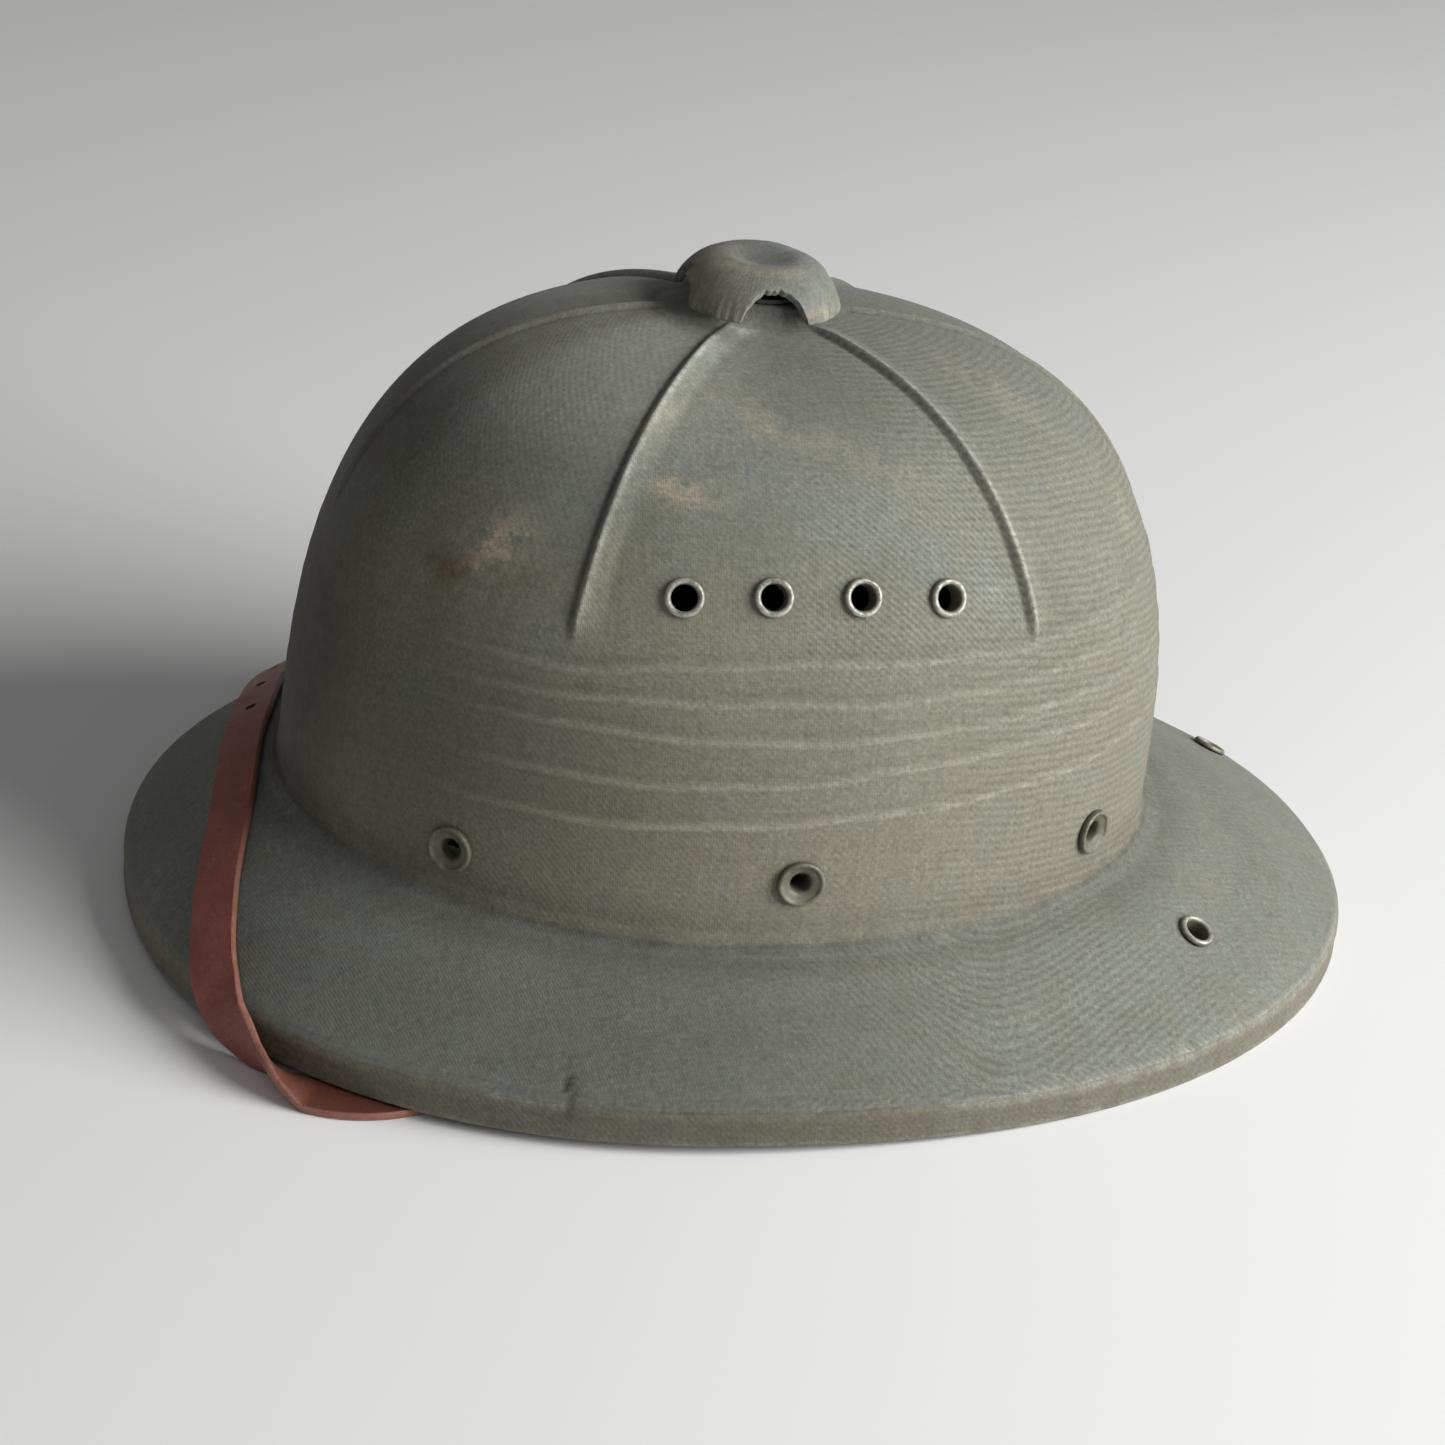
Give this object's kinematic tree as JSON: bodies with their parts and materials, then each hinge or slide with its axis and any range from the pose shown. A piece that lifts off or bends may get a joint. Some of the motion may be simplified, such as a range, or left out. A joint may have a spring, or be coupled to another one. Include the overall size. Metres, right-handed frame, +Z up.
{
  "type": "sun helmet",
  "caption": "Olive cloth-covered pressed-fibre sun helmet with a turning vent cap, a leather sweatband and a buckled leather chin strap stowed over the front of its brim.",
  "frame": {"origin": "on the table, under the middle of the brim's outline", "axes": "+X to the front of the brim, +Y to the wearer's left, +Z up"},
  "size_m": [0.3338, 0.2594, 0.1812],
  "materials": {
    "cloth": "matt twill, painted and worn",
    "painted": "satin paint, rubbed at the lips",
    "brass": "dull, tarnished",
    "steel": "dull",
    "webbing": "matt weave",
    "band_leather": "smooth, worn",
    "strap_leather": "smooth, worn, pale cut edges"
  },
  "bodies": {
    "helmet": {"fibre_shell": "cloth", "left_vent_eyelet_1": "painted", "left_vent_eyelet_2": "painted", "left_vent_eyelet_3": "painted", "left_vent_eyelet_4": "painted", "right_vent_eyelet_1": "painted", "right_vent_eyelet_2": "painted", "right_vent_eyelet_3": "painted", "right_vent_eyelet_4": "painted", "left_brim_eyelet": "painted", "right_brim_eyelet": "painted", "left_front_rivet": "painted", "left_middle_rivet": "painted", "left_rear_rivet": "painted", "right_front_rivet": "painted", "right_middle_rivet": "painted", "right_rear_rivet": "painted", "vent_collar": "painted", "left_front_hanger": "steel", "left_rear_hanger": "steel", "right_front_hanger": "steel", "right_rear_hanger": "steel", "headband": "webbing", "size_strap": "webbing", "sweatband": "band_leather", "long_strap": "strap_leather", "short_strap": "strap_leather"},
    "vent_screw": {"vent_stem": "brass"},
    "cap": {"vent_cap": "cloth"},
    "frame": {"buckle_frame": "brass"},
    "prong": {"buckle_prong": "brass"},
    "keeper": {"strap_keeper": "strap_leather"},
    "slider": {"size_slider": "brass"}
  },
  "joints": [
    {"name": "vent_turn", "type": "hinge", "parent": "vent_screw", "child": "cap", "pos_m": [0.01158, 0, 0.16873], "axis": [-0.0244, 0, 0.9997], "range_deg": [0, 720]},
    {"name": "vent_lift", "type": "slide", "parent": "helmet", "child": "vent_screw", "axis": [-0.0244, 0, 0.9997], "range_m": [0, 0.0025]},
    {"name": "buckle_swing", "type": "hinge", "parent": "helmet", "child": "frame", "pos_m": [0.04995, -0.10508, 0.01471], "axis": [0.5709, 0.761, 0.3082], "range_deg": [0, 15]},
    {"name": "prong_swing", "type": "hinge", "parent": "frame", "child": "prong", "pos_m": [0.04995, -0.10508, 0.01471], "axis": [0.5709, 0.761, 0.3082], "range_deg": [0, 10]},
    {"name": "keeper_slide", "type": "slide", "parent": "helmet", "child": "keeper", "axis": [-0.7911, 0.4095, 0.4543], "range_m": [-0.006, 0.004]},
    {"name": "slider_slide", "type": "hinge", "parent": "helmet", "child": "slider", "pos_m": [-0.03275, 0, 0.0507], "axis": [-0.0244, 0, 0.9997], "range_deg": [-8, 8]}
  ],
  "couplings": [
    {"joint": "vent_lift", "follows": "vent_turn", "m_per_rad": 0.0001989}
  ]
}
